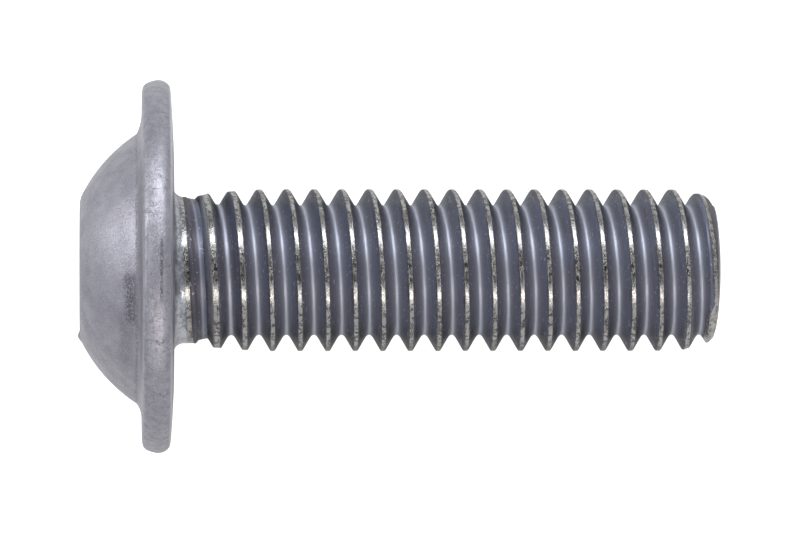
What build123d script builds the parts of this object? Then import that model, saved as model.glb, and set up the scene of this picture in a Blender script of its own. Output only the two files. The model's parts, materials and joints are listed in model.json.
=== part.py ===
from build123d import *
from math import asin, atan2, ceil, cos, degrees, floor, pi, radians, sin, sqrt, tan
import os

# Button head screw with a flange, thread M6 x 1, 20 long, in millimetres.
# It lies on the floor Z = 0, on the rim of its flange and on its last crest near the tip,
# with the head towards -X and the tip towards +X.
# Places along the screw are measured from the bearing face under the flange,
# positive towards the tip and negative into the head.

# Thread: right-handed and rolled, so the form of its ridge follows the pitch. Its roots,
# which are rounded on the screw, are sharp here, and its crests flat.
thread_diameter = 5.89
pitch = 1.0
depth_per_pitch = 0.62
crest_width_per_pitch = 0.13
thread_start = 0.09  # where the ridge has its first crest on the +Y side

# Shank: plain neck, first turns that fade into it, full thread, rolled tip
shank_length = 19.87
neck_length = 0.85
neck_share = 0.49  # how far down the thread's depth the plain neck lies
neck_fillet = 0.37
crest_rise_length = 2.8
root_fade_length = 2.1
tip_length = 1.45
tip_reduction = 0.44
tip_chamfer = 0.12

# Head: flange with a crowned rim, dome, and the hexagon socket in its flat top
flange_diameter = 13.53
flange_thickness = 1.15
rim_crown = 0.25  # how far the rim bulges between its two edges
rim_setback = 0.1
bearing_diameter = 9.2
head_height = 3.39
dome_diameter = 9.78
dome_radius = 5.83
dome_foot = 0.18  # the dome's edge stands this far above the flange
socket_across_flats = 4.0
socket_depth = 2.1
socket_chamfer = 0.04
socket_cone_angle = 140.0
top_land = 0.22
top_round = 0.19

# Worked out from the sizes above
thread_radius = thread_diameter / 2
thread_depth = depth_per_pitch * pitch
root_radius = thread_radius - thread_depth
neck_radius = thread_radius - neck_share * thread_depth
tip_radius = thread_radius - tip_reduction
flange_radius = flange_diameter / 2
rim_radius = flange_radius - rim_crown
mouth_radius = socket_across_flats / sqrt(3) + socket_chamfer
top_radius = mouth_radius + top_land
sliver = thread_depth / 15

# The section of the ridge: distance along the screw from the middle of the crest, and
# height as a share of the thread's depth
half_crest = crest_width_per_pitch * pitch / 2
section = [(-pitch / 2, 0), (-half_crest, 1), (half_crest, 1), (pitch / 2, 0)]

# The depth of the thread along the screw. The crests rise out of the neck, steeply and
# then slowly, and fall again over the tip. The groove deepens in the same way.
fade_start = neck_length - pitch / 10
beyond_tip = shank_length + 3 * pitch
crest_stops = [
    (fade_start, neck_radius - sliver),
    (neck_length + crest_rise_length / 6, (neck_radius + thread_radius) / 2),
    (neck_length + crest_rise_length, thread_radius),
    (shank_length - tip_length, thread_radius),
    (shank_length, tip_radius),
    (beyond_tip, tip_radius),
]
root_stops = [
    (fade_start, neck_radius - sliver),
    (neck_length + root_fade_length / 6, (neck_radius + root_radius) / 2),
    (neck_length + root_fade_length, root_radius),
    (beyond_tip, root_radius),
]


def radius_at(place, stops):
    """Radius at a place along the screw, on straight lines from stop to stop."""
    for (start, first), (end, second) in zip(stops, stops[1:]):
        if place <= end:
            return first + (second - first) * max(0, place - start) / (end - start)
    return stops[-1][1]


def ridge_point(turn, angle, corner):
    """A point of the ridge, angle in radians from the start of a turn on the +X side."""
    offset, height = section[corner]
    place = thread_start + offset + (turn + angle / (2 * pi)) * pitch
    root = radius_at(place, root_stops)
    radius = root + height * (radius_at(place, crest_stops) - root)
    return Vector(radius * cos(angle), radius * sin(angle), place)


def ridge_edge(turn, corner):
    """One turn of the helix that a corner of the section follows."""
    steps = 16
    nudge = 0.001
    angles = [2 * pi * step / steps for step in range(steps + 1)]
    ends = [
        (ridge_point(turn, angle + nudge, corner) - ridge_point(turn, angle - nudge, corner))
        * (pi / nudge)
        for angle in (0, 2 * pi)
    ]
    return Edge.make_spline(
        [ridge_point(turn, angle, corner) for angle in angles],
        tangents=ends,
        parameters=[step / steps for step in range(steps + 1)],
        scale=False,
    )


def end_helicoid(edge):
    """The surface that closes a turn, from its edge to the axis of the screw."""
    start, end = edge @ 0, edge @ 1
    return Face.make_surface_from_curves(edge, Edge.make_line((0, 0, start.Z), (0, 0, end.Z)))


def end_face(points):
    """The flat face that closes the ridge at one end, from its section to the axis."""
    return Face(Wire.make_polygon([(0, 0, points[0].Z), *points, (0, 0, points[-1].Z)]))


# The thread: ruled faces between the helices of the section's corners, turn by turn,
# closed at both ends. It starts inside the head and ends beyond the tip.
turns = ceil((shank_length - thread_start) / pitch) + 1
corners = range(len(section))
edges = [[ridge_edge(turn, corner) for corner in corners] for turn in range(turns)]
skin = [
    Face.make_surface_from_curves(turn_edges[corner - 1], turn_edges[corner])
    for turn_edges in edges
    for corner in corners[1:]
]
first_points = [ridge_point(0, 0, corner) for corner in corners]
last_points = [ridge_point(turns, 0, corner) for corner in corners]
skin += [end_helicoid(edges[0][0]), end_face(first_points)]
skin += [end_helicoid(edges[-1][-1]), end_face(last_points)]
ridge = Solid(Shell(skin))

# The head and the neck, turned as one profile
front = -flange_thickness
foot = front - dome_foot
rim_middle = (front - rim_setback) / 2
sweep_end = dome_diameter / 2 + (flange_diameter - dome_diameter) / 4
neck_end = neck_length + 4 * sliver

with BuildPart() as head:
    with BuildSketch(Plane.XZ) as profile:
        with BuildLine():
            dome = RadiusArc(
                (top_radius, -head_height),
                (dome_diameter / 2, foot),
                -dome_radius,
                mode=Mode.PRIVATE,
            )
            dome_start = dome @ (top_round / dome.length)
            Line((0, -head_height), (top_radius - top_round, -head_height))
            Bezier((top_radius - top_round, -head_height), (top_radius, -head_height), dome_start)
            RadiusArc(dome_start, (dome_diameter / 2, foot), -dome_radius)
            TangentArc((sweep_end, front), (dome_diameter / 2, foot), tangent=(-1, 0))
            Line((sweep_end, front), (rim_radius, front))
            ThreePointArc(
                (rim_radius, front), (flange_radius, rim_middle), (rim_radius, -rim_setback)
            )
            Polyline(
                (rim_radius, -rim_setback),
                (bearing_diameter / 2, 0),
                (neck_radius + neck_fillet, 0),
            )
            Bezier((neck_radius + neck_fillet, 0), (neck_radius, 0), (neck_radius, neck_fillet))
            Polyline(
                (neck_radius, neck_fillet),
                (neck_radius, neck_length),
                (neck_radius - 4 * sliver, neck_end),
                (0, neck_end),
                (0, -head_height),
            )
        make_face()
    revolve(axis=Axis.Z)

# The socket's tool: a hexagon with a conical bottom, and a chamfer round its mouth
socket_bottom = socket_depth - head_height
socket_flat = socket_across_flats / 2
socket_slope = tan(radians(socket_cone_angle / 2))

with BuildPart() as socket:
    with BuildSketch(Plane.XY.offset(-head_height)):
        RegularPolygon(socket_flat, 6, major_radius=False)
    extrude(amount=socket_depth)
    with BuildSketch(Plane.XZ):
        with BuildLine():
            Polyline(
                (0, socket_bottom),
                (socket_flat, socket_bottom),
                (0, socket_bottom + socket_flat / socket_slope),
                close=True,
            )
        make_face()
        with BuildLine():
            Polyline(
                (0, -head_height),
                (mouth_radius, -head_height),
                (0, -head_height + mouth_radius / socket_slope),
                close=True,
            )
        make_face()
    revolve(axis=Axis.Z)

# What is cut off at the tip: all beyond its flat end, with a small chamfer round it
with BuildPart() as end:
    with BuildSketch(Plane.XZ):
        with BuildLine():
            Polyline(
                (0, shank_length),
                (tip_radius - tip_chamfer, shank_length),
                (tip_radius + tip_chamfer, shank_length - 2 * tip_chamfer),
                (2 * thread_radius, shank_length - 2 * tip_chamfer),
                (2 * thread_radius, beyond_tip),
                (0, beyond_tip),
                close=True,
            )
        make_face()
    revolve(axis=Axis.Z)

# How it lies: its axis falls towards the tip by the slope of the line that touches the
# rim's arc and one of the last crests on the floor's side
rim_arc = ((front - rim_middle) ** 2 + rim_crown**2) / (2 * rim_crown)


def lying_slope(place):
    """Slope of the axis, in radians, if the rim and the crest at this place touch."""
    along = place - rim_middle
    across = radius_at(place, crest_stops) - flange_radius + rim_arc
    return asin(rim_arc / sqrt(along**2 + across**2)) - atan2(across, along)


first_low_crest = thread_start + 0.75 * pitch
last_turn = floor((shank_length - first_low_crest) / pitch)
low_crests = [first_low_crest + turn * pitch for turn in (last_turn - 2, last_turn - 1, last_turn)]
rest_crest = min(low_crests, key=lying_slope)
slope = lying_slope(rest_crest)

# The origin is on the floor, in the middle of the screw's length and width
seat_height = rest_crest * sin(slope) + radius_at(rest_crest, crest_stops) * cos(slope)
head_end = -head_height * cos(slope) - top_radius * sin(slope)
tip_end = shank_length * cos(slope) + tip_radius * sin(slope)
seat = (-(head_end + tip_end) / 2, 0, seat_height)
lying = Plane(origin=seat, x_dir=(0, 1, 0), z_dir=(cos(slope), 0, -sin(slope)))

with BuildPart(lying) as screw:
    add(ridge)
    add(end.part, mode=Mode.SUBTRACT)
    add(head.part)
    add(socket.part, mode=Mode.SUBTRACT)

print("axis falls", round(degrees(slope), 2), "degrees, seat height", round(seat_height, 3))

os.makedirs("parts", exist_ok=True)
screw.part.label = "screw"
export_step(screw.part, "parts/screw.step")
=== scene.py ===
import json
import math

import bmesh
import bpy
from mathutils import Matrix, Vector, noise


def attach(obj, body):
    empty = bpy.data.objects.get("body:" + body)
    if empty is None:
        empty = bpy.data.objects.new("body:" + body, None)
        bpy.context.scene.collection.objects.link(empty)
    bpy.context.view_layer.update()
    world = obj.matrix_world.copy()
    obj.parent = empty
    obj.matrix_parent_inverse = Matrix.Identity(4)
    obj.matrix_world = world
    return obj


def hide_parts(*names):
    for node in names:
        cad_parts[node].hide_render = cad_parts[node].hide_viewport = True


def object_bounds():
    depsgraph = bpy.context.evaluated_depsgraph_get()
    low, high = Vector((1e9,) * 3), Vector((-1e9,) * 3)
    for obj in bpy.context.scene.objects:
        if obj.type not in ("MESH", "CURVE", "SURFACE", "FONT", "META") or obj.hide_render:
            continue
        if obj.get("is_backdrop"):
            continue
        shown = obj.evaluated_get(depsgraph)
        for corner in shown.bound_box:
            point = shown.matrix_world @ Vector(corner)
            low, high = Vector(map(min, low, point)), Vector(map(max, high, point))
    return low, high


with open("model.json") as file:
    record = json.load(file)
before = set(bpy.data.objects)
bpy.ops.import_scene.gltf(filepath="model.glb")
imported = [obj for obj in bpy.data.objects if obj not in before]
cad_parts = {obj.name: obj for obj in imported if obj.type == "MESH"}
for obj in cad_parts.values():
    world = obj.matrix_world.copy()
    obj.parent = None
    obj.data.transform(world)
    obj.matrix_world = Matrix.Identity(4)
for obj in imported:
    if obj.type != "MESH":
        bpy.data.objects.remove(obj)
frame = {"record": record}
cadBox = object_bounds()
mm = 0.001

# Where the screw lies: its mounts give the axis, the seat under the flange and the lengths
mounts = {mount["name"]: mount for mount in frame["record"]["mounts"]}
screwAxis = Vector(mounts["thread"]["axis"]).normalized()
seat = Vector(mounts["bearing_face"]["pos_m"])
seat.y = 0
headHeight = (Vector(mounts["hex_socket"]["pos_m"]) - seat).length / mm
shankLength = 2 * (Vector(mounts["thread"]["pos_m"]) - seat).length / mm
flangeRadius = (cadBox[1].y - cadBox[0].y) / 2 / mm
acrossAxis = Vector((0, 1, 0))
upAxis = screwAxis.cross(acrossAxis)
lying = Matrix.Translation(seat) @ Matrix((acrossAxis, upAxis, screwAxis)).transposed().to_4x4()

# All in millimetres, places along the screw from the bearing face, positive towards the tip
shank = {
    "threadRadius": 2.945,
    "threadDepth": 0.61,
    "pitch": 1.0,
    "flankLean": 30.0,  # degrees between a flank and a cut square to the axis
    "threadStart": 0.09,  # the first crest on the +Y side
    "crestRounding": 0.07,  # shares of the depth that the roundings take
    "rootRounding": 0.27,
    "neckRadius": 2.655,
    "neckLength": 0.85,
    "neckFillet": 0.37,
    "crestRise": 2.8,
    # how the groove deepens out of the neck: where it starts, places with radii, where it is full
    "grooveFrom": 0.3,
    "groove": [(0.6, 2.6), (1.1, 2.5), (1.6, 2.38)],
    "grooveFull": 2.6,
    "lead": 0.11,  # how far the helix runs ahead on the upper side
    "tipLength": 1.45,
    "tipEase": 0.3,  # over this length before the tip the crests lose their softened rim
    # the crests' radius over the tip: distance before the end, radius
    "tip": [
        (1.14, 2.828), (1.05, 2.795), (0.95, 2.785), (0.78, 2.8), (0.42, 2.62), (0.3, 2.5),
        (0, 2.3),
    ],
    # the crowned end: distance before the shank's full length, radius
    "end": [
        (0.285, 2.42), (0.265, 2.37), (0.24, 2.3), (0.2, 2.1), (0.15, 1.7), (0.1, 1.1),
        (0.075, 0.5),
    ],
    "endMiddle": 0.07,  # how far before the shank's full length the end's middle lies
    "rimSoftness": 0.05,  # rounding where the blank's own surface stays on the crests
    "crestRoughness": 0.007,
    "crestGrain": (5.5, 13),  # how often per millimetre the coarse and fine roughness change
    "fineShare": 0.6,
}
head = {
    "flangeThickness": 1.15,
    "rimSetback": 0.1,
    "backHollow": 0.45,  # share of the setback that is reached halfway to the rim
    # the rim's section: distance behind the flange's front, and how far below its peak
    "rim": [
        (0.0, 1.2), (0.0, 0.62), (0.015, 0.34), (0.07, 0.2), (0.16, 0.127), (0.27, 0.076),
        (0.38, 0.04), (0.5, 0.012), (0.6, 0.002), (0.7, 0.012), (0.8, 0.045), (0.9, 0.105),
        (0.99, 0.19), (1.05, 0.32),
    ],
    "bearingRadius": 4.6,
    "domeRadius": 4.89,
    "domeCurve": 5.83,
    "domeFoot": 0.18,
    "topRadius": 2.525,
    "topRound": 0.22,
    # the small burr on the edge of the flat top: height, width, how far in and how far up it sits
    "burr": 0.1,
    "burrWidth": 0.3,
    "burrAt": (0.1, 0.3),
    "burrLean": 0.35,
    "socketFlats": 4.0,
    "socketDepth": 2.1,
    "socketChamfer": 0.04,
    "socketWall": 0.25,  # the socket's wall is divided from this depth down
    "socketRings": (1.2, 0.5),  # radii on the cone at the bottom
    "socketCone": 70.0,  # degrees between the axis and the cone at the bottom
    "socketTurn": 30.0,
}
# how far the dome and the shank stand off the middle of the flange, sideways
offCentre = [(-1.33, -0.08), (-1.15, 0), (-0.1, 0), (0, -0.13)]
mesh = {
    "columns": 120,
    "neckCut": 0.5,
    "tipCut": 0.3,
    "headUpTo": 0.02,  # faces up to this place get the head's steel
    "sharpAngle": 38,
    "filletSteps": 8,
    "bearingRings": (3.3, 3.8, 4.3),
    "sweepSteps": 7,
    "domeSteps": 26,
    "topSteps": 6,
    # the rows of one flank, as shares of the pitch from the crest
    "rows": (0.035, 0.07, 0.105, 0.14, 0.195, 0.25, 0.305, 0.36, 0.395, 0.43, 0.465),
}

threadStart, pitch = shank["threadStart"], shank["pitch"]
neckRadius, threadRadius = shank["neckRadius"], shank["threadRadius"]
rootRadius = threadRadius - shank["threadDepth"]
fadeStart = shank["neckLength"] - pitch / 10
# the crests come halfway up within the first sixth of their rise
crestStops = [
    (fadeStart, neckRadius),
    (shank["neckLength"] + shank["crestRise"] / 6, (neckRadius + threadRadius) / 2),
    (shank["neckLength"] + shank["crestRise"], threadRadius + shank["rimSoftness"]),
    (shankLength - shank["tipLength"] - shank["tipEase"], threadRadius + shank["rimSoftness"]),
    (shankLength - shank["tipLength"], threadRadius),
] + [(shankLength - before, radius) for before, radius in shank["tip"]]
rootStops = [(shank["grooveFrom"], neckRadius), *shank["groove"], (shank["grooveFull"], rootRadius)]


def radiusAt(place, stops):
    if place <= stops[0][0]:
        return stops[0][1]
    for (start, first), (end, second) in zip(stops, stops[1:]):
        if place <= end:
            return first + (second - first) * (place - start) / (end - start)
    return stops[-1][1]


def softMin(a, b, width):
    overlap = max(0, 1 - abs(a - b) / width)
    return min(a, b) - width * overlap * overlap / 4


def ridgeHeight(phase):
    # 0 at the root, 1 at the crest; straight flanks with rounded ends
    flankSlope = pitch / (shank["threadDepth"] * math.tan(math.radians(shank["flankLean"])))
    straight = 0.5 + (0.25 - abs(phase)) * flankSlope
    crested = softMin(straight, 1, shank["crestRounding"])
    return 1 - softMin(1 - crested, 1, shank["rootRounding"])


def threadRadiusAt(place, phase):
    full = rootRadius + ridgeHeight(phase) * shank["threadDepth"]
    softness = shank["rimSoftness"]
    raised = -softMin(-full, -radiusAt(place, rootStops), softness)
    return softMin(raised, radiusAt(place, crestStops), softness)


def arcPoints(start, end, rise, steps):
    # an arc of that rise over its chord, bulging to the right of the way from start to end
    start, end = Vector(start), Vector(end)
    chord = end - start
    along = chord.normalized()
    side = Vector((chord.y, -chord.x)).normalized()
    radius = (chord.length ** 2 / 4 + rise * rise) / (2 * rise)
    centre = (start + end) / 2 + side * (rise - radius)
    half = math.asin(chord.length / 2 / radius)
    points = []
    for step in range(steps + 1):
        turn = half * (2 * step / steps - 1)
        points.append(centre + along * radius * math.sin(turn) + side * radius * math.cos(turn))
    return points


def roundCorner(before, corner, after, size, steps):
    corner = Vector(corner)
    start = corner + (Vector(before) - corner).normalized() * size
    end = corner + (Vector(after) - corner).normalized() * size
    return [
        start.lerp(corner, step / steps).lerp(corner.lerp(end, step / steps), step / steps)
        for step in range(steps + 1)
    ]


def smoothLine(points):
    # cuts the corners of a line of points, twice
    for cutting in range(2):
        cornerless = [points[0]]
        for first, second in zip(points, points[1:]):
            cornerless += [first.lerp(second, 0.25), first.lerp(second, 0.75)]
        points = cornerless + [points[-1]]
    return points


def headProfile():
    # (place, radius) from the neck over the bearing face, rim and dome to the socket's mouth
    fillet, filletSteps, sweepSteps = shank["neckFillet"], mesh["filletSteps"], mesh["sweepSteps"]
    front = -head["flangeThickness"]
    back = -head["rimSetback"]
    foot = (front - head["domeFoot"], head["domeRadius"])
    sweepEnd = (front, (head["domeRadius"] + flangeRadius) / 2)
    points = [Vector((mesh["neckCut"] - 0.04, neckRadius))]
    for step in range(filletSteps + 1):
        turn = math.pi / 2 * step / filletSteps
        points.append(Vector((
            fillet - fillet * math.sin(turn), neckRadius + fillet - fillet * math.cos(turn),
        )))
    points += [Vector((0, radius)) for radius in (*mesh["bearingRings"], head["bearingRadius"])]
    rim = [Vector((front + behind, flangeRadius - drop)) for behind, drop in reversed(head["rim"])]
    halfway = Vector((back * head["backHollow"], (head["bearingRadius"] + rim[0].y) / 2))
    points += smoothLine([halfway] + rim)
    # the concave sweep from the flange up to the dome's foot
    for step in range(1, sweepSteps + 1):
        share = 1 - step / sweepSteps
        points.append(Vector((
            foot[0] + (front - foot[0]) * (1 - (1 - share) ** 3),
            foot[1] + (sweepEnd[1] - foot[1]) * share,
        )))
    top = (-headHeight, head["topRadius"])
    chord = math.dist(foot, top)
    rise = head["domeCurve"] - math.sqrt(head["domeCurve"] ** 2 - chord * chord / 4)
    dome = arcPoints(foot, top, rise, mesh["domeSteps"])
    points += dome[1:-2]
    points += roundCorner(dome[-3], top, (-headHeight, 0), head["topRound"], mesh["topSteps"])
    return points


print("measures taken from the frame")


# The thread is a skewed grid: its rows run along the helix, so that every crest is one clean line
ridgePhases = [-share for share in reversed(mesh["rows"])] + [0.0] + list(mesh["rows"])
ridgePhases = [-0.5] + ridgePhases
rowsPerTurn = len(ridgePhases)


def threadGrid(bm):
    columns = mesh["columns"]
    coarse, fine = shank["crestGrain"]
    turns = math.ceil(shankLength / pitch) + 2
    grid = []
    for column in range(columns):
        turned = column / columns
        angle = 2 * math.pi * turned
        ahead = shank["lead"] * math.sin(angle)
        around = Vector((math.cos(angle), math.sin(angle), 0))
        line = []
        for turn in range(-1, turns):
            for phase in ridgePhases:
                place = threadStart + ahead + (turn + turned + phase) * pitch
                spot = around * threadRadiusAt(place, phase) + Vector((0, 0, place))
                # only the top fifth of the ridge is rough
                crested = max(0, ridgeHeight(phase) - 0.8) * 5
                rough = noise.noise(spot * coarse) + shank["fineShare"] * noise.noise(spot * fine)
                spot -= around * shank["crestRoughness"] * crested * (1 + rough)
                line.append(bm.verts.new(spot))
        grid.append(line)
    for column in range(columns):
        here, there, shift = grid[column], grid[(column + 1) % columns], 0
        if column == columns - 1:
            shift = rowsPerTurn
        for row in range(len(here) - 1 - shift):
            bm.faces.new((here[row], there[row + shift], there[row + 1 + shift], here[row + 1]))


def cutRing(bm, place, keepAbove):
    # cuts the grid square to the axis and gives the ring of points there, in order
    geometry = bm.verts[:] + bm.edges[:] + bm.faces[:]
    bmesh.ops.bisect_plane(
        bm, geom=geometry, dist=1e-5, plane_co=(0, 0, place), plane_no=(0, 0, 1),
        clear_inner=keepAbove, clear_outer=not keepAbove,
    )
    ring = [vert for vert in bm.verts if abs(vert.co.z - place) < 1e-4]
    return sorted(ring, key=lambda vert: math.atan2(vert.co.y, vert.co.x))


def ringOn(bm, ring, points):
    # carries a ring of points over the next ones, given as numbers or as functions of the angle
    for place, radius in points:
        nextRing = []
        for vert in ring:
            angle = math.atan2(vert.co.y, vert.co.x)
            across = radius(angle) if callable(radius) else radius
            along = place(angle) if callable(place) else place
            spot = (across * math.cos(angle), across * math.sin(angle), along)
            nextRing.append(bm.verts.new(spot))
        for index in range(len(ring)):
            bm.faces.new((ring[index - 1], ring[index], nextRing[index], nextRing[index - 1]))
        ring = nextRing
    return ring


def closeRing(bm, ring, place):
    centre = bm.verts.new((0, 0, place))
    for index in range(len(ring)):
        bm.faces.new((ring[index - 1], ring[index], centre))


def hexagonAt(angle):
    sector = math.radians(60)
    turned = (angle - math.radians(head["socketTurn"])) % sector - sector / 2
    return head["socketFlats"] / 2 / math.cos(turned)


def socketPoints():
    slope = math.tan(math.radians(head["socketCone"]))
    mouth = head["socketFlats"] / math.sqrt(3) + head["socketChamfer"]
    bottom = head["socketDepth"] - headHeight
    half, wall = head["socketFlats"] / 2, head["socketWall"]

    def chamferAt(angle):
        return (mouth - hexagonAt(angle)) / slope - headHeight

    # the edge between the flat top and the chamfer is broken slightly
    points = [(-headHeight, mouth + 0.05), (-headHeight + 0.005, mouth - 0.01)]
    points += [(chamferAt, hexagonAt)]
    for share in (0.35, 0.7, 1):
        points.append((-headHeight + wall + (head["socketDepth"] - wall) * share, hexagonAt))
    points += [(bottom + (half - radius) / slope, radius) for radius in head["socketRings"]]
    return points, bottom + half / slope


def closeTip(bm, ring):
    # the crowned end, which stays inside the cut through the last turn
    limits = {round(math.atan2(vert.co.y, vert.co.x), 4): vert.co.xy.length for vert in ring}

    def endRadius(radius):
        return lambda angle: min(radius, limits[round(angle, 4)] - 0.01)

    rows = [(shankLength - before, endRadius(radius)) for before, radius in shank["end"]]
    closeRing(bm, ringOn(bm, ring, rows), shankLength - shank["endMiddle"])


def raiseBurr(vert):
    inward, upward = head["burrAt"]
    fromBurr = (vert.co - Vector((inward - head["topRadius"], upward, -headHeight))).length
    raised = head["burr"] * max(0, 1 - fromBurr / head["burrWidth"]) ** 1.5
    vert.co.x -= head["burrLean"] * raised
    vert.co.z -= raised


def makeScrew():
    bm = bmesh.new()
    threadGrid(bm)
    neckRing = cutRing(bm, mesh["neckCut"], True)
    tipRing = cutRing(bm, shankLength - mesh["tipCut"], False)
    topRing = ringOn(bm, neckRing, [tuple(point) for point in headProfile()])
    socketRows, socketPoint = socketPoints()
    closeRing(bm, ringOn(bm, topRing, socketRows), socketPoint)
    closeTip(bm, tipRing)
    bmesh.ops.recalc_face_normals(bm, faces=bm.faces[:])
    for vert in bm.verts:
        raiseBurr(vert)
        vert.co.x += radiusAt(vert.co.z, offCentre)
    for face in bm.faces:
        face.smooth = True
        face.material_index = 0 if face.calc_center_median().z < mesh["headUpTo"] else 1
    bmesh.ops.transform(bm, matrix=lying @ Matrix.Scale(mm, 4), verts=bm.verts[:])
    body = bpy.data.meshes.new("screwBody")
    bm.to_mesh(body)
    bm.free()
    body.set_sharp_from_angle(angle=math.radians(mesh["sharpAngle"]))
    screw = bpy.data.objects.new("screwBody", body)
    bpy.context.scene.collection.objects.link(screw)
    return screw


screw = makeScrew()
print("screw made,", len(screw.data.polygons), "faces")


# Shader helpers
def setInputs(tree, node, values):
    # a socket is linked, anything else is set as the input's own value
    for name, value in values:
        if isinstance(value, bpy.types.NodeSocket):
            tree.links.new(value, node.inputs[name])
        else:
            node.inputs[name].default_value = value


def newNode(tree, kind, values=None, **settings):
    node = tree.nodes.new(kind)
    for name, value in settings.items():
        setattr(node, name, value)
    setInputs(tree, node, (values or {}).items())
    return node


def calc(tree, operation, *values):
    node = newNode(tree, "ShaderNodeMath", operation=operation)
    setInputs(tree, node, enumerate(values))
    return node.outputs[0]


def times(tree, first, *others):
    for value in others:
        first = calc(tree, "MULTIPLY", first, value)
    return first


def larger(tree, first, *others):
    for value in others:
        first = calc(tree, "MAXIMUM", first, value)
    return first


def opposite(tree, mask):
    return calc(tree, "SUBTRACT", 1.0, mask)


def spread(tree, value, low, high, newLow=0.0, newHigh=1.0, steps="SMOOTHSTEP"):
    # a smooth step from newLow to newHigh as value goes from low to high
    node = newNode(tree, "ShaderNodeMapRange", {
        "Value": value, "From Min": low, "From Max": high, "To Min": newLow, "To Max": newHigh,
    }, interpolation_type=steps, clamp=True)
    return node.outputs["Result"]


def spreadLine(tree, value, low, high, newLow=0.0, newHigh=1.0):
    return spread(tree, value, low, high, newLow, newHigh, "LINEAR")


def near(tree, value, centre, outer, inner, low=0.0, high=1.0):
    # high where value lies within inner of the centre, low from outer on
    away = calc(tree, "ABSOLUTE", calc(tree, "SUBTRACT", value, centre))
    return spread(tree, away, outer, inner, low, high)


def band(tree, value, rise, fall):
    # 1 between the rise and the fall, each given as where it is 0 and where it is 1
    return times(tree, spread(tree, value, *rise), spread(tree, value, *fall))


def blendValues(tree, factor, first, second):
    return newNode(tree, "ShaderNodeMix", {0: factor, 2: first, 3: second}).outputs[0]


def blendColours(tree, factor, first, second):
    node = newNode(tree, "ShaderNodeMix", data_type="RGBA")
    setInputs(tree, node, ((0, factor), (6, first), (7, second)))
    return node.outputs[2]


def layerColours(tree, colour, layers):
    # lays each colour over the ones before, by its mask
    for mask, layer in layers:
        colour = blendColours(tree, mask, colour, layer)
    return colour


def clouds(tree, vector, scale, detail=2.0, roughness=0.5):
    node = newNode(tree, "ShaderNodeTexNoise", {
        "Vector": vector, "Scale": scale, "Detail": detail, "Roughness": roughness,
    })
    return node.outputs["Fac"]


def newGroup(name, inputs, outputs):
    group = bpy.data.node_groups.new(name, "ShaderNodeTree")
    for label, kind, value in inputs:
        socket = group.interface.new_socket(name=label, in_out="INPUT", socket_type=kind)
        if value is not None:
            socket.default_value = value
    for label, kind in outputs:
        group.interface.new_socket(name=label, in_out="OUTPUT", socket_type=kind)
    start = group.nodes.new("NodeGroupInput")
    end = group.nodes.new("NodeGroupOutput")
    return group, start.outputs, end.inputs


def useGroup(tree, group, values):
    node = tree.nodes.new("ShaderNodeGroup")
    node.node_tree = group
    setInputs(tree, node, values.items())
    return node.outputs


def makePlaces():
    # Where a point is on the screw, in millimetres and turns
    group, given, result = newGroup(
        "placesOnScrew",
        [("Middle", "NodeSocketVector", None), ("Thread Start", "NodeSocketFloat", 0.0),
         ("Pitch", "NodeSocketFloat", 1.0), ("Lead", "NodeSocketFloat", 0.0)],
        [("Spot", "NodeSocketVector"), ("Along", "NodeSocketFloat"), ("Around", "NodeSocketFloat"),
         ("Radius", "NodeSocketFloat"), ("Phase", "NodeSocketFloat"), ("Turns", "NodeSocketFloat"),
         ("Unrolled", "NodeSocketVector")],
    )
    coordinates = newNode(group, "ShaderNodeTexCoord")
    spot = newNode(group, "ShaderNodeMapping", {
        "Vector": coordinates.outputs["Object"], "Location": given["Middle"],
        "Rotation": lying.to_euler(), "Scale": (mm, mm, mm),
    }, vector_type="TEXTURE").outputs[0]
    parts = newNode(group, "ShaderNodeSeparateXYZ", {"Vector": spot}).outputs
    turned = calc(group, "DIVIDE", calc(group, "ARCTAN2", parts["Y"], parts["X"]), 2 * math.pi)
    squares = [calc(group, "POWER", parts[name], 2.0) for name in ("X", "Y")]
    radius = calc(group, "SQRT", calc(group, "ADD", *squares))
    ahead = times(group, given["Lead"], calc(group, "SINE", times(group, turned, 2 * math.pi)))
    started = calc(group, "SUBTRACT", parts["Z"], given["Thread Start"])
    started = calc(group, "SUBTRACT", started, ahead)
    turns = calc(group, "SUBTRACT", calc(group, "DIVIDE", started, given["Pitch"]), turned)
    phase = calc(group, "SUBTRACT", calc(group, "FRACT", calc(group, "ADD", turns, 0.5)), 0.5)
    # stretched along the turning direction, for marks that run round the screw
    unrolled = newNode(group, "ShaderNodeCombineXYZ", {
        "X": radius, "Y": times(group, turned, 2.0), "Z": parts["Z"],
    }).outputs[0]
    found = {
        "Spot": spot, "Along": parts["Z"], "Around": turned, "Radius": radius, "Phase": phase,
        "Turns": turns, "Unrolled": unrolled,
    }
    for name, socket in found.items():
        group.links.new(socket, result[name])
    return group


def makeMottle():
    # Soft cloudy variation and a fine grain, as a value round 0.5
    group, given, result = newGroup(
        "mottleAndGrain",
        [("Spot", "NodeSocketVector", None), ("Cloud Size", "NodeSocketFloat", 1.0),
         ("Grain Size", "NodeSocketFloat", 0.1), ("Grain Share", "NodeSocketFloat", 0.4)],
        [("Value", "NodeSocketFloat")],
    )
    cloud = clouds(group, given["Spot"], calc(group, "DIVIDE", 1.0, given["Cloud Size"]), 3.0, 0.6)
    grain = clouds(group, given["Spot"], calc(group, "DIVIDE", 1.0, given["Grain Size"]), 2.0, 0.7)
    group.links.new(blendValues(group, given["Grain Share"], cloud, grain), result["Value"])
    return group


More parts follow.
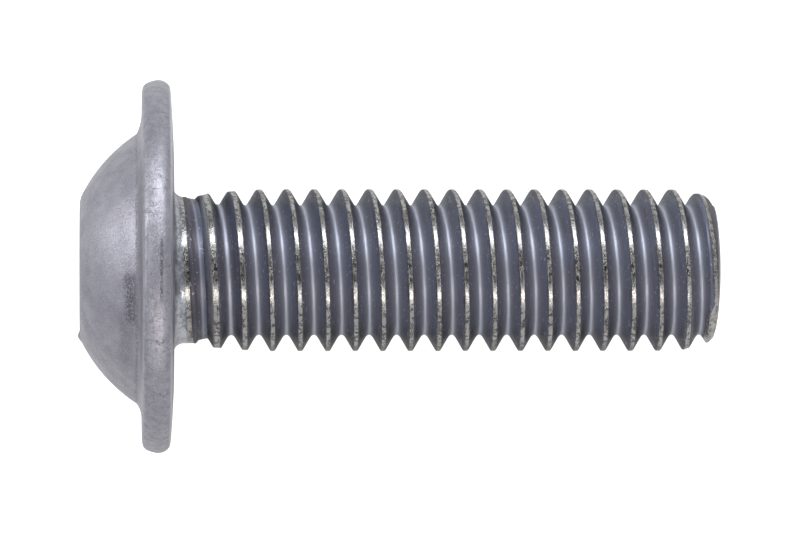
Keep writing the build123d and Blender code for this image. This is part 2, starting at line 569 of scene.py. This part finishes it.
def makePits():
    # Small pits and scratches, 1 where the surface is hurt
    group, given, result = newGroup(
        "pitsAndMarks",
        [("Spot", "NodeSocketVector", None), ("Size", "NodeSocketFloat", 0.2),
         ("Amount", "NodeSocketFloat", 0.3)],
        [("Mask", "NodeSocketFloat")],
    )
    size = calc(group, "DIVIDE", 1.0, given["Size"])
    broad = clouds(group, given["Spot"], times(group, size, 0.3), 1.0, 0.5)
    fine = clouds(group, given["Spot"], size, 3.0, 0.75)
    limit = calc(group, "SUBTRACT", 0.9, times(group, given["Amount"], 0.5))
    low = calc(group, "SUBTRACT", limit, 0.06)
    group.links.new(spread(group, times(group, fine, broad, 2.0), low, limit), result["Mask"])
    return group


places, mottle, pits = makePlaces(), makeMottle(), makePits()


def placesFrom(tree, middle):
    return useGroup(tree, places, {
        "Middle": middle, "Thread Start": threadStart, "Pitch": pitch, "Lead": shank["lead"],
    })


def mottleOn(tree, where, cloudSize, grainSize, grainShare):
    return useGroup(tree, mottle, {
        "Spot": where["Spot"], "Cloud Size": cloudSize, "Grain Size": grainSize,
        "Grain Share": grainShare,
    })["Value"]


def acrossOn(tree, where):
    # sideways on the screw, up in the picture
    return newNode(tree, "ShaderNodeSeparateXYZ", {"Vector": where["Spot"]}).outputs["X"]


def upOn(tree, where):
    return newNode(tree, "ShaderNodeSeparateXYZ", {"Vector": where["Spot"]}).outputs["Y"]


def newMaterial(name):
    material = bpy.data.materials.new(name)
    material.use_nodes = True
    tree = material.node_tree
    return material, tree, tree.nodes["Principled BSDF"]


# Sizes are in millimetres, scales in times per millimetre, and each pair of limits is where a
# mask is 0 and where it is 1
headSteel = {
    "paleColour": (0.355, 0.351, 0.393, 1),
    "darkColour": (0.235, 0.23, 0.27, 1),
    "darkBandColour": (0.088, 0.08, 0.102, 1),
    "rearHighlightColour": (0.68, 0.66, 0.74, 1),  # a painted highlight on the rim's rear edge by the flange's bearing side, lightening the shade there
    "domeTone": (0.7, 0.05, 0.6),  # size of the clouds and of the grain, and the grain's share
    "flangeTone": (0.3, 0.07, 0.45),
    "flangeShare": 0.8,  # how much of the flange's own tone it gets
    "paleLimits": (0.32, 0.66),
    "flangeLimits": (-1.3, -1.1),
    "rimBand": (0.9, 0.5),  # how far below the rim's peak cracks start, and are full
    "crackScale": 1.6,
    "crackStretch": (1.5, 0.8),  # round the rim and across it
    "crackWidth": 0.02,
    "crackPatches": (0.42, 0.52),
    "crackBlend": 0.5,
    "seamRise": (-1.41, -1.35),
    "seamFall": (-1.24, -1.31),
    "seamScale": 14.0,
    "seamWander": 0.25,
    "seamSpeckle": (0.44, 0.6),
    "seamDepth": 0.6,
    "darkBandBlend": 0.85,
    "rearEdge": (-0.2, -0.09),
    "rearBlend": 0.8,
    # dark marks on the side that lies up: place, half width, from and to sideways, depth. The
    # fourth, at the dome's foot, is a painted reflection of something dark
    "marks": [
        (-0.475, 0.09, -1.2, 1.1, 1.0), (-0.3, 0.17, -1.4, 1.2, 0.3),
        (-0.965, 0.04, -1.3, 1.5, 0.45), (-1.55, 0.33, -2.1, -0.2, 1.0),
        (-1.7, 0.35, -3.6, -1.6, 0.35),
    ],
    "markWander": 1.2,  # in half widths
    "markCore": 0.3,
    "markEnds": (0.2, 0.3),  # how far a mark fades out beyond its ends and inside them
    "markSpeckle": (0.34, 0.56),
    "roughness": 0.38,
    "rougher": 0.08,  # in the dark patches
    "smoother": 0.06,  # in the pale patches
    "sandScale": 22.0,
    "sandDepth": 0.025,
    "grainDepth": 0.6,
    "toneHeight": 0.35,  # shares of the sand's height
    "seamHeight": 0.4,
}


def darkPatchOn(tree, where, speckle, place, halfWidth, sideFrom, sideTo, depth):
    ragged = times(tree, calc(tree, "SUBTRACT", speckle, 0.5), headSteel["markWander"] * halfWidth)
    wandering = calc(tree, "ADD", where["Along"], ragged)
    mask = near(tree, wandering, place, halfWidth, headSteel["markCore"] * halfWidth)
    out, inside = headSteel["markEnds"]
    ends = (sideFrom - out, sideFrom + inside), (sideTo + out, sideTo - inside)
    sides = band(tree, acrossOn(tree, where), *ends)
    onTop = calc(tree, "GREATER_THAN", upOn(tree, where), 0.0)
    specks = spread(tree, speckle, *headSteel["markSpeckle"], 0.0, depth)
    return times(tree, mask, sides, onTop, specks)


def cracksOn(tree, where, tone, onRim):
    # short cracks that run across the rim
    stretch, across = headSteel["crackStretch"]
    acrossRim = newNode(tree, "ShaderNodeCombineXYZ", {
        "X": times(tree, where["Around"], 2 * math.pi * flangeRadius * stretch),
        "Y": times(tree, where["Along"], across),
    }).outputs[0]
    wander = clouds(tree, acrossRim, headSteel["crackScale"], 3.0, 0.6)
    cracks = near(tree, wander, 0.5, headSteel["crackWidth"], 0.0)
    return times(tree, cracks, onRim, spread(tree, tone, *headSteel["crackPatches"]))


def darkBandsOn(tree, where):
    # the speckled line between dome and flange, with the dark marks, one of which is a painted
    # reflection
    speckle = clouds(tree, where["Spot"], headSteel["seamScale"], 3.0, 0.8)
    wander = times(tree, calc(tree, "SUBTRACT", speckle, 0.5), headSteel["seamWander"])
    place = calc(tree, "ADD", where["Along"], wander)
    darkBands = band(tree, place, headSteel["seamRise"], headSteel["seamFall"])
    specks = spread(tree, speckle, *headSteel["seamSpeckle"], 0.0, headSteel["seamDepth"])
    darkBands = times(tree, darkBands, specks)
    return larger(tree, darkBands, *[darkPatchOn(tree, where, speckle, *mark) for mark in headSteel["marks"]])


def makeHeadSteel():
    material, tree, steel = newMaterial("headSteel")
    where = placesFrom(tree, seat)
    tone = mottleOn(tree, where, *headSteel["domeTone"])
    patches = mottleOn(tree, where, *headSteel["flangeTone"])
    onFlange = spread(tree, where["Along"], *headSteel["flangeLimits"])
    value = blendValues(tree, times(tree, onFlange, headSteel["flangeShare"]), tone, patches)
    pale = spread(tree, value, *headSteel["paleLimits"])
    colour = blendColours(tree, pale, headSteel["darkColour"], headSteel["paleColour"])
    rimLimits = [flangeRadius - below for below in headSteel["rimBand"]]
    onRim = times(tree, onFlange, spread(tree, where["Radius"], *rimLimits))
    cracks = cracksOn(tree, where, tone, onRim)
    # the seam and the dark marks, one of them a painted reflection on the dome's foot
    darkBands = darkBandsOn(tree, where)
    # painted highlight along the rim's rear edge
    rearEdge = times(tree, spread(tree, where["Along"], *headSteel["rearEdge"]), onRim)
    colour = layerColours(tree, colour, [
        (times(tree, darkBands, headSteel["darkBandBlend"]), headSteel["darkBandColour"]),
        (times(tree, cracks, headSteel["crackBlend"]), headSteel["darkBandColour"]),
        (times(tree, rearEdge, headSteel["rearBlend"]), headSteel["rearHighlightColour"]),
    ])
    tree.links.new(colour, steel.inputs["Base Color"])
    steel.inputs["Metallic"].default_value = 1
    roughest = headSteel["roughness"] + headSteel["rougher"]
    smoothest = headSteel["roughness"] - headSteel["smoother"]
    rough = spread(tree, value, 0.25, 0.75, roughest, smoothest)
    tree.links.new(rough, steel.inputs["Roughness"])
    grain = clouds(tree, where["Spot"], headSteel["sandScale"], 2.0, 0.6)
    sand = calc(tree, "ADD", times(tree, value, headSteel["toneHeight"]), grain)
    sunk = times(tree, larger(tree, darkBands, cracks), headSteel["seamHeight"])
    bump = newNode(tree, "ShaderNodeBump", {
        "Height": calc(tree, "SUBTRACT", sand, sunk), "Strength": headSteel["grainDepth"],
        "Distance": headSteel["sandDepth"] * mm,
    })
    tree.links.new(bump.outputs[0], steel.inputs["Normal"])
    return material


threadSteel = {
    "leftFlank": (0.118, 0.129, 0.183, 1),
    "rightFlank": (0.108, 0.107, 0.14, 1),
    "flankLine": (0.155, 0.165, 0.22, 1),
    "shade": (0, 0, 0, 1),
    # paler steel of the root, partly a painted highlight
    "rootColour": (0.435, 0.45, 0.52, 1),
    "rootStain": (0.10, 0.075, 0.08, 1),
    "crestColour": (0.36, 0.353, 0.345, 1),
    "crestPitAndShade": (0.07, 0.065, 0.06, 1),
    "endColour": (0.25, 0.25, 0.275, 1),
    "endDark": (0.14, 0.14, 0.155, 1),
    "outline": (0.05, 0.045, 0.045, 1),
    "neckColour": (0.44, 0.455, 0.49, 1),
    "neckDark": (0.17, 0.175, 0.20, 1),
    "cloudTone": (1.2, 0.12, 0.35),  # size of the clouds and of the grain, and the grain's share
    "neckPatches": (0.4, 0.58),
    "endPatches": (0.4, 0.6),
    # the pale strips on the crests
    "crestHalf": 0.07,  # half width, as a share of the pitch
    "raggedScale": 11.0,
    "crestRagged": 0.11,
    "wideAtNeck": [(0.6, 1.18, 0.01), (1.18, 3.2, 0.035)],  # place from and to, extra half width
    "wideAtTip": (1.2, 0.4, 0.4),  # distance before the end from and to, extra half width
    "wideSide": (-1.2, -1.9),  # only on the lower side of the picture
    "crestEdge": 0.012,
    "outlineWidth": (0.05, 0.015),
    "outlineBlend": 0.8,
    "lowerEnds": (-2.68, -2.86),  # where the strips darken at the lower outline, sideways
    "lowerShade": 0.75,
    # the rolled surface starts on a slanting edge, beside a worn strip of the neck
    "rolledFrom": 0.3,  # on the +Y side
    "rolledSlant": 0.9,
    "rolledRagged": 0.06,
    "neckStrip": (-0.26, -0.12),
    "rolledLine": (0.06, 0.015),
    "endFace": (0.295, 0.27),  # distance before the shank's full length
    # the bright bottom of the groove, paler steel widened into a painted highlight: place from and
    # to, where its edge lies in the pitch
    "rootEdge": (0.9, 2.6, 0.41, 0.14),
    "rootEnd": (0.8, 0.5),
    "rootStart": (0.6, 1.4, 0.5),  # turns from and to, brightness at the start
    "stainRise": (0.2, 0.3),
    "stainFall": (0.42, 0.34),
    "stainCloud": (0.4, 0.65, 0.0, 0.7),
    # wear of the crests, and painted shade: more pits a little above the middle of the side that
    # lies up
    "pits": (0.045, 0.62),  # size and amount
    "wornScale": 1.3,
    "paintedShadeBand": (0.3, 0.9, 0.2, 0.2),  # middle sideways, outer and inner limit, how much it adds
    "wearAndShadeLimits": (0.54, 0.68),
    "wornTip": (1.25, 0.75, 0.6),
    "tipSide": (-1.2, -0.6),
    "chipScale": 18.0,
    "chips": (0.42, 0.6),
    # painted light: fewer pits where the lamps' highlights fall
    "litBands": [(1.3, 0.75, 0.35), (-0.85, 0.55, 0.25)],  # middle, outer and inner limit
    "litBandShare": 0.75,
    "pitsAndShadeBlend": 0.85,
    "lineScale": 14.0,
    "lineLimits": (0.55, 0.8),
    "speckScale": 9.0,
    "speckLimits": (0.675, 0.70),
    "speckBlend": 0.5,
    # painted shade on the shallow first half turn, painted light on the flank after it
    "shallowTurns": (0.42, 0.55),
    "shallowShade": 0.7,
    "firstRise": (0.64, 0.74),
    "firstFall": (1.0, 0.97),
    "firstBlend": 0.5,
    "sootWidth": 0.16,
    "sootCloud": (0.5, 0.62),
    "sootBlend": 0.6,
    "rolling": (-0.2, 0.035),  # phase and half width of a thin pale line beside each crest
    "rollingCloud": (0.45, 0.6, 0.0, 0.4),
    "tipDark": (0.6, 0.4),
    "tipRagged": (-0.2, 0.1, 0.2, 0.7),
    "slantLimits": (0.55, 0.8),
    "slantShade": 0.75,  # how much darker the flanks look at a slant
    "flankMetal": 0.5,
    "filletMetal": (0.1, 0.3, 0.2),  # place from and to, share of the metal in the fillet
    "reflection": 0.3,
    "neckRoughness": 0.22,
    "flankRoughness": 0.42,
    "crestRoughness": 0.17,
    "rootRoughness": 0.56,
    "bumpScale": 22.0,
    "bumpDepth": 0.06,
    "bumpStrength": 0.8,
    "lumpHeight": 0.1,  # shares of the bump's depth
    "lineHeight": 0.3,
    "pitHeight": 0.25,
}


def fromEnd(*distances):
    return [shankLength - distance for distance in distances]


def stripsOn(tree, where, ragged, across):
    # where the surface is rolled, and the worn strips that the blank's surface leaves
    along, chosen = where["Along"], threadSteel
    distance = calc(tree, "ABSOLUTE", where["Phase"])
    edge = calc(tree, "ADD", distance, times(tree, ragged, chosen["crestRagged"]))
    # the strips narrow as the crests rise out of the neck, and widen over the tip
    extra = [
        spreadLine(tree, along, start, end, width, 0.0)
        for start, end, width in chosen["wideAtNeck"]
    ]
    half = calc(tree, "ADD", chosen["crestHalf"], calc(tree, "ADD", *extra))
    *tipPlaces, tipExtra = chosen["wideAtTip"]
    wide = spreadLine(tree, along, *fromEnd(*tipPlaces), 0.0, tipExtra)
    half = calc(tree, "ADD", half, times(tree, wide, spread(tree, across, *chosen["wideSide"])))
    beyond = calc(tree, "SUBTRACT", edge, half)
    slant = times(tree, where["Around"], chosen["rolledSlant"])
    inRolled = calc(tree, "SUBTRACT", along, calc(tree, "ADD", chosen["rolledFrom"], slant))
    inRolled = calc(tree, "ADD", inRolled, times(tree, ragged, chosen["rolledRagged"]))
    soft = chosen["crestEdge"]
    rolled = spread(tree, inRolled, -soft, soft)
    strip = times(tree, spread(tree, inRolled, *chosen["neckStrip"]), opposite(tree, rolled))
    # there is no crest before the first half turn
    before = times(tree, calc(tree, "LESS_THAN", where["Turns"], 0.5), 0.3)
    beyond = calc(tree, "ADD", beyond, before)
    onCrest = times(tree, spread(tree, beyond, soft, -soft), rolled)
    onFace = spread(tree, along, *fromEnd(*chosen["endFace"]))
    outline = times(tree, spread(tree, beyond, *chosen["outlineWidth"]), rolled)
    rolledLine = times(tree, rolled, spread(tree, inRolled, *chosen["rolledLine"]))
    outline = larger(tree, outline, rolledLine)
    return {
        "distance": distance,
        "beyond": beyond,
        "onFace": onFace,
        "outline": outline,
        "crest": times(tree, larger(tree, onCrest, strip), opposite(tree, onFace)),
        "onThread": larger(tree, rolled, strip),
    }


def rootOn(tree, where, distance):
    # the bright bottom of the groove, paler steel widened into a painted highlight, which fades
    # towards the neck and the tip
    along, chosen = where["Along"], threadSteel
    rootEdge = spreadLine(tree, along, *chosen["rootEdge"])
    root = calc(tree, "POWER", spreadLine(tree, distance, rootEdge, 0.5), 2.0)
    root = times(tree, root, spreadLine(tree, along, *fromEnd(*chosen["rootEnd"]), 1.0, 0.0))
    return times(tree, root, spreadLine(tree, where["Turns"], *chosen["rootStart"], 1.0))


def pitsAndShadeOn(tree, where, across):
    # 1 where the crests are pitted or chipped; more pits in a band on the side that lies up are
    # painted shade
    spot, chosen = where["Spot"], threadSteel
    size, amount = chosen["pits"]
    pitsAndShade = useGroup(tree, pits, {"Spot": spot, "Size": size, "Amount": amount})["Mask"]
    middle, outer, inner, more = chosen["paintedShadeBand"]
    paintedShade = near(tree, across, middle, outer, inner, 0.0, more)
    wearAndShade = calc(tree, "ADD", clouds(tree, spot, chosen["wornScale"], 2.0, 0.6), paintedShade)
    *tipPlaces, tipShare = chosen["wornTip"]
    atTip = spreadLine(tree, where["Along"], *fromEnd(*tipPlaces))
    atTip = times(tree, atTip, spread(tree, across, *chosen["tipSide"]))
    wearAndShade = larger(tree, spread(tree, wearAndShade, *chosen["wearAndShadeLimits"]), times(tree, atTip, tipShare))
    chips = spread(tree, clouds(tree, spot, chosen["chipScale"], 2.0, 0.7), *chosen["chips"])
    pitsAndShade = larger(tree, pitsAndShade, times(tree, wearAndShade, chips))
    # the crests keep fewest pits on both sides of that band, where the lamps' highlights fall, as
    # painted light
    litBandMask = larger(tree, *[near(tree, across, *limits) for limits in chosen["litBands"]])
    litBandMask = times(tree, litBandMask, opposite(tree, atTip), chosen["litBandShare"])
    return times(tree, pitsAndShade, opposite(tree, litBandMask))


def flankLayers(tree, where, marks, cloud, ragged, across):
    # what lies on the flanks, from the first layer to the last
    chosen, turns = threadSteel, where["Turns"]
    beyond, distance = marks["beyond"], marks["distance"]
    lines = spread(tree, marks["lines"], *chosen["lineLimits"])
    # the shallow first half turn is darker, as painted shade, the flank after it paler, as painted
    # light
    shallow = spreadLine(tree, turns, *chosen["shallowTurns"], chosen["shallowShade"], 1.0)
    firstSide = band(tree, turns, chosen["firstRise"], chosen["firstFall"])
    stain = band(tree, distance, chosen["stainRise"], chosen["stainFall"])
    stain = times(tree, stain, spread(tree, cloud, *chosen["stainCloud"]))
    soot = spread(tree, beyond, chosen["sootWidth"], 0.0)
    soot = times(tree, soot, spread(tree, cloud, *chosen["sootCloud"]), chosen["sootBlend"])
    slanted = newNode(tree, "ShaderNodeLayerWeight", {"Blend": 0.5}).outputs["Facing"]
    slanted = spread(tree, slanted, *chosen["slantLimits"], 0.0, chosen["slantShade"])
    specks = clouds(tree, where["Spot"], chosen["speckScale"], 1.0, 0.5)
    specks = spread(tree, specks, *chosen["speckLimits"])
    rolling = near(tree, where["Phase"], *chosen["rolling"], 0.0)
    rolling = times(tree, rolling, spread(tree, cloud, *chosen["rollingCloud"]))
    tipDark = spread(tree, where["Along"], *fromEnd(*chosen["tipDark"]))
    tipSide = spread(tree, across, *chosen["tipSide"])
    tipDark = times(tree, tipDark, tipSide, spread(tree, ragged, *chosen["tipRagged"]))
    return [
        (lines, chosen["flankLine"]),
        # painted shade, then painted light on the first flank
        (opposite(tree, shallow), chosen["shade"]),
        (times(tree, firstSide, chosen["firstBlend"]), chosen["neckColour"]),
        (stain, chosen["rootStain"]),
        (soot, chosen["outline"]),
        (slanted, chosen["shade"]),
        # the root's pale band, partly a painted highlight
        (marks["root"], chosen["rootColour"]),
        (times(tree, marks["outline"], chosen["outlineBlend"]), chosen["outline"]),
        (times(tree, specks, chosen["speckBlend"]), chosen["neckColour"]),
        (rolling, chosen["neckDark"]),
        (tipDark, chosen["outline"]),
    ]


def makeThreadSteel():
    material, tree, steel = newMaterial("threadSteel")
    chosen = threadSteel
    where = placesFrom(tree, seat + acrossAxis * offCentre[-1][1] * mm)
    across = acrossOn(tree, where)
    ragged = clouds(tree, where["Spot"], chosen["raggedScale"], 3.0, 0.75)
    ragged = calc(tree, "SUBTRACT", ragged, 0.5)
    cloud = mottleOn(tree, where, *chosen["cloudTone"])
    marks = stripsOn(tree, where, ragged, across)
    marks["root"] = rootOn(tree, where, marks["distance"])
    marks["lines"] = clouds(tree, where["Unrolled"], chosen["lineScale"], 2.0, 0.6)
    pitsAndShade = pitsAndShadeOn(tree, where, across)
    root, crest = marks["root"], marks["crest"]
    onThread, onFace = marks["onThread"], marks["onFace"]

    rightSide = spread(tree, where["Phase"], -0.05, 0.05)
    flank = blendColours(tree, rightSide, chosen["leftFlank"], chosen["rightFlank"])
    flank = layerColours(tree, flank, flankLayers(tree, where, marks, cloud, ragged, across))
    # the crests' pits carry the painted shade band too
    top = layerColours(tree, chosen["crestColour"], [
        (times(tree, pitsAndShade, chosen["pitsAndShadeBlend"]), chosen["crestPitAndShade"]),
        (spread(tree, across, *chosen["lowerEnds"], 0.0, chosen["lowerShade"]), chosen["outline"]),
    ])
    colour = blendColours(tree, crest, flank, top)
    neckPale = spread(tree, cloud, *chosen["neckPatches"])
    endPale = spread(tree, cloud, *chosen["endPatches"])
    neckTone = blendColours(tree, neckPale, chosen["neckDark"], chosen["neckColour"])
    endTone = blendColours(tree, endPale, chosen["endDark"], chosen["endColour"])
    colour = blendColours(tree, onThread, neckTone, colour)
    colour = blendColours(tree, onFace, colour, endTone)
    tree.links.new(colour, steel.inputs["Base Color"])

    bare = larger(tree, crest, root, opposite(tree, onThread), onFace)
    *filletPlaces, filletShare = chosen["filletMetal"]
    bare = times(tree, bare, spread(tree, where["Along"], *filletPlaces, filletShare, 1.0))
    metal = spreadLine(tree, bare, 0.0, 1.0, chosen["flankMetal"], 1.0)
    tree.links.new(metal, steel.inputs["Metallic"])
    steel.inputs["Specular IOR Level"].default_value = chosen["reflection"]
    rough = blendValues(tree, root, chosen["flankRoughness"], chosen["rootRoughness"])
    rough = blendValues(tree, crest, rough, chosen["crestRoughness"])
    rough = blendValues(tree, onThread, chosen["neckRoughness"], rough)
    tree.links.new(rough, steel.inputs["Roughness"])

    # fine lines on the flanks, small lumps and pits on the crests
    lumps = clouds(tree, where["Spot"], chosen["bumpScale"], 2.0, 0.6)
    lumps = times(tree, lumps, chosen["lumpHeight"])
    height = blendValues(tree, crest, times(tree, marks["lines"], chosen["lineHeight"]), lumps)
    height = calc(tree, "SUBTRACT", height, times(tree, pitsAndShade, crest, chosen["pitHeight"]))
    bump = newNode(tree, "ShaderNodeBump", {
        "Height": height, "Strength": chosen["bumpStrength"],
        "Distance": chosen["bumpDepth"] * mm,
    })
    tree.links.new(bump.outputs[0], steel.inputs["Normal"])
    return material


for material in (makeHeadSteel(), makeThreadSteel()):
    screw.data.materials.append(material)
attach(screw, "root")
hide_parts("screw")
print("materials made")


# Studio: a pale floor, a soft lamp on each side, a pale room and the camera
studio = {
    "cameraDistance": 215,
    "cameraOver": -2.2,  # the place along the screw that the camera is over
    "aimPlace": 8.215,
    "aimSide": 0.0,
    "pixelsPerMm": 27.56,
    "pictureWidth": 800,
    "sensorWidth": 36,
    "floorSize": 2,  # in metres
    "floorGap": 0.02,
    "floorColour": (0.65, 0.65, 0.65, 1),
    "floorGlow": (0.6, 0.1),  # what the camera sees more, and what the camera and mirrors both see
    "roomColour": (0.97, 0.985, 1, 1),
    "roomLevel": 0.85,
    "patchLevel": 0.15,
    "patchEdge": (0.86, 0.99),
    "sideShade": 0.5,  # how pale the room stays on the +Y side
    "sideEdge": (0.3, 0.9),
}
# lean from straight over the screw and turn round it in degrees
lamps = {
    "headLamp": {
        "lean": 76, "turn": -70, "distance": 150, "width": 60, "length": 60, "power": 0.045,
        "colour": (1, 1, 1),
    },
    "keyLamp": {
        "lean": 48, "turn": 0, "distance": 150, "width": 52, "length": 200, "power": 0.208,
        "colour": (0.96, 0.985, 1),
    },
    "sideLamp": {
        "lean": -37, "turn": 0, "distance": 150, "width": 28, "length": 200, "power": 0.085,
        "colour": (1, 0.93, 0.85),
    },
}


def onScrew(place, side, up):
    return lying @ (Vector((side, up, place)) * mm)


def pointAt(thing, target, top):
    back = (thing.location - target).normalized()
    right = top.cross(back).normalized()
    thing.rotation_euler = Matrix((right, back.cross(right), back)).transposed().to_euler()


def placeCamera(scene):
    camera = bpy.data.objects.new("camera", bpy.data.cameras.new("camera"))
    scene.collection.objects.link(camera)
    camera.location = onScrew(studio["cameraOver"], studio["aimSide"], studio["cameraDistance"])
    aim = onScrew(studio["aimPlace"], studio["aimSide"], 0)
    pointAt(camera, aim, acrossAxis)
    camera.data.sensor_width = studio["sensorWidth"]
    perMm = studio["pixelsPerMm"] * (camera.location - aim).length / mm
    camera.data.lens = perMm * studio["sensorWidth"] / studio["pictureWidth"]
    camera.data.clip_start, camera.data.clip_end = 0.01, 10
    scene.camera = camera


def placeLamps(scene):
    middle = onScrew(shankLength / 2, 0, 0)
    for name, values in lamps.items():
        lamp = bpy.data.objects.new(name, bpy.data.lights.new(name, "AREA"))
        scene.collection.objects.link(lamp)
        lean, turn = math.radians(values["lean"]), math.radians(values["turn"])
        direction = acrossAxis * math.cos(turn) + screwAxis * math.sin(turn)
        direction = direction * math.sin(lean) + upAxis * math.cos(lean)
        lamp.location = middle + direction * values["distance"] * mm
        pointAt(lamp, middle, screwAxis)
        lamp.data.shape = "RECTANGLE"
        lamp.data.size = values["width"] * mm
        lamp.data.size_y = values["length"] * mm
        lamp.data.energy = values["power"]
        lamp.data.color = values["colour"]


def makeFloor(scene):
    bm = bmesh.new()
    bmesh.ops.create_grid(bm, x_segments=1, y_segments=1, size=studio["floorSize"])
    floorMesh = bpy.data.meshes.new("floor")
    bm.to_mesh(floorMesh)
    bm.free()
    floor = bpy.data.objects.new("floor", floorMesh)
    scene.collection.objects.link(floor)
    floor.location.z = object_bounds()[0].z - studio["floorGap"] * mm
    floor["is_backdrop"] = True
    # it glows for the camera and for mirrors, so it stays white but keeps the screw's shadow
    material, tree, surface = newMaterial("floor")
    tree.nodes.remove(surface)
    path = newNode(tree, "ShaderNodeLightPath").outputs
    seen = larger(tree, path["Is Camera Ray"], path["Is Glossy Ray"], path["Is Transmission Ray"])
    forCamera, forBoth = studio["floorGlow"]
    strength = [times(tree, path["Is Camera Ray"], forCamera), times(tree, seen, forBoth)]
    paper = newNode(tree, "ShaderNodeBsdfDiffuse", {"Color": studio["floorColour"]})
    glow = newNode(tree, "ShaderNodeEmission", {
        "Color": (1, 1, 1, 1), "Strength": calc(tree, "ADD", *strength),
    })
    both = newNode(tree, "ShaderNodeAddShader", {0: paper.outputs[0], 1: glow.outputs[0]})
    tree.links.new(both.outputs[0], tree.nodes["Material Output"].inputs["Surface"])
    floorMesh.materials.append(material)


def makeRoom(scene):
    # a pale room, with a darker patch of ceiling straight over the screw and one darker side
    world = bpy.data.worlds.new("room")
    world.use_nodes = True
    scene.world = world
    tree = world.node_tree
    room = tree.nodes["Background"]
    room.inputs["Color"].default_value = studio["roomColour"]
    towards = newNode(tree, "ShaderNodeTexCoord").outputs["Generated"]
    upward, sideways = [
        newNode(tree, "ShaderNodeVectorMath", {0: towards, 1: axis}, operation="DOT_PRODUCT")
        for axis in (upAxis, acrossAxis)
    ]
    levels = studio["roomLevel"], studio["patchLevel"]
    level = spread(tree, upward.outputs["Value"], *studio["patchEdge"], *levels)
    shade = spread(tree, sideways.outputs["Value"], *studio["sideEdge"], 1.0, studio["sideShade"])
    tree.links.new(times(tree, level, shade), room.inputs["Strength"])


def makeStudio():
    scene = bpy.context.scene
    placeCamera(scene)
    placeLamps(scene)
    makeFloor(scene)
    makeRoom(scene)
    scene.view_settings.view_transform = "Standard"


makeStudio()
print("studio made")
